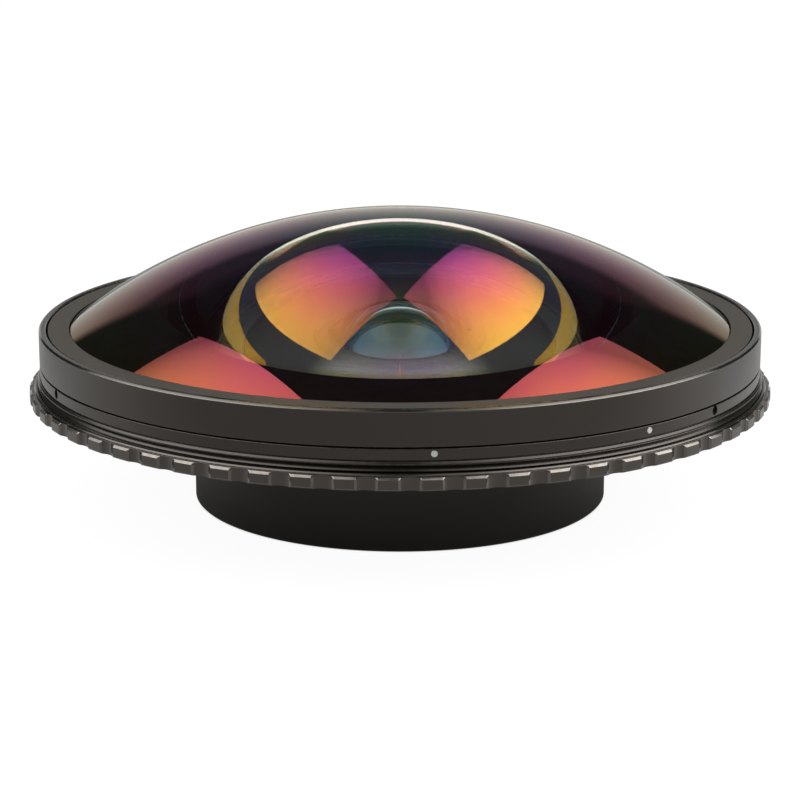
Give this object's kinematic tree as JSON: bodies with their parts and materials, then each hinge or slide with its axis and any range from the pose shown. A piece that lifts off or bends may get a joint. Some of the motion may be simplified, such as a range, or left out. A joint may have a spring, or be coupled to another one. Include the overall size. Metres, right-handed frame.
{
  "type": "fisheye lens",
  "caption": "Ultra-wide fisheye converter lens: coated glass dome in a wide dark metal barrel with a fluted lock ring, on a narrow black rear barrel with a threaded mount.",
  "frame": {"origin": "centre of the rear barrel's foot, on the surface that the lens stands on", "axes": "+Z along the optical axis towards the subject; the pictured view looks along +Y"},
  "size_m": [0.14, 0.14, 0.0539],
  "materials": {
    "dome_glass": "polished, multi-coated, reflects magenta to orange",
    "inner_glass": "polished, coated",
    "dark_anodised": "dark grey-brown satin anodised, turned",
    "black_anodised": "matte black anodised",
    "black_rubber": "soft matte",
    "screw_steel": "blackened",
    "shim_brass": "rolled sheet",
    "white_paint": "filled paint dots"
  },
  "bodies": {
    "lens": {"front_element": "dome_glass", "second_element": "inner_glass", "third_element": "inner_glass", "fourth_element": "inner_glass", "front_retaining_ring": "dark_anodised", "front_barrel": "dark_anodised", "main_body": "dark_anodised", "rear_barrel": "black_anodised", "lens_cell": "black_anodised", "second_retaining_ring": "black_anodised", "aperture_stop": "black_anodised", "spacer_ring": "black_anodised", "rear_retaining_ring": "black_anodised", "cell_lock_ring": "black_anodised", "front_seal": "black_rubber", "barrel_seal": "black_rubber", "grub_screws": "screw_steel", "barrel_screws": "screw_steel", "cell_shim": "shim_brass", "index_dots": "white_paint"},
    "lock_ring_body": {"lock_ring": "dark_anodised"}
  },
  "joints": [
    {"name": "lock_ring_turn", "type": "hinge", "parent": "lens", "child": "lock_ring_body", "pos_m": [0, 0, 0.0217], "axis": [0, 0, 1], "range_deg": [0, 540]}
  ]
}
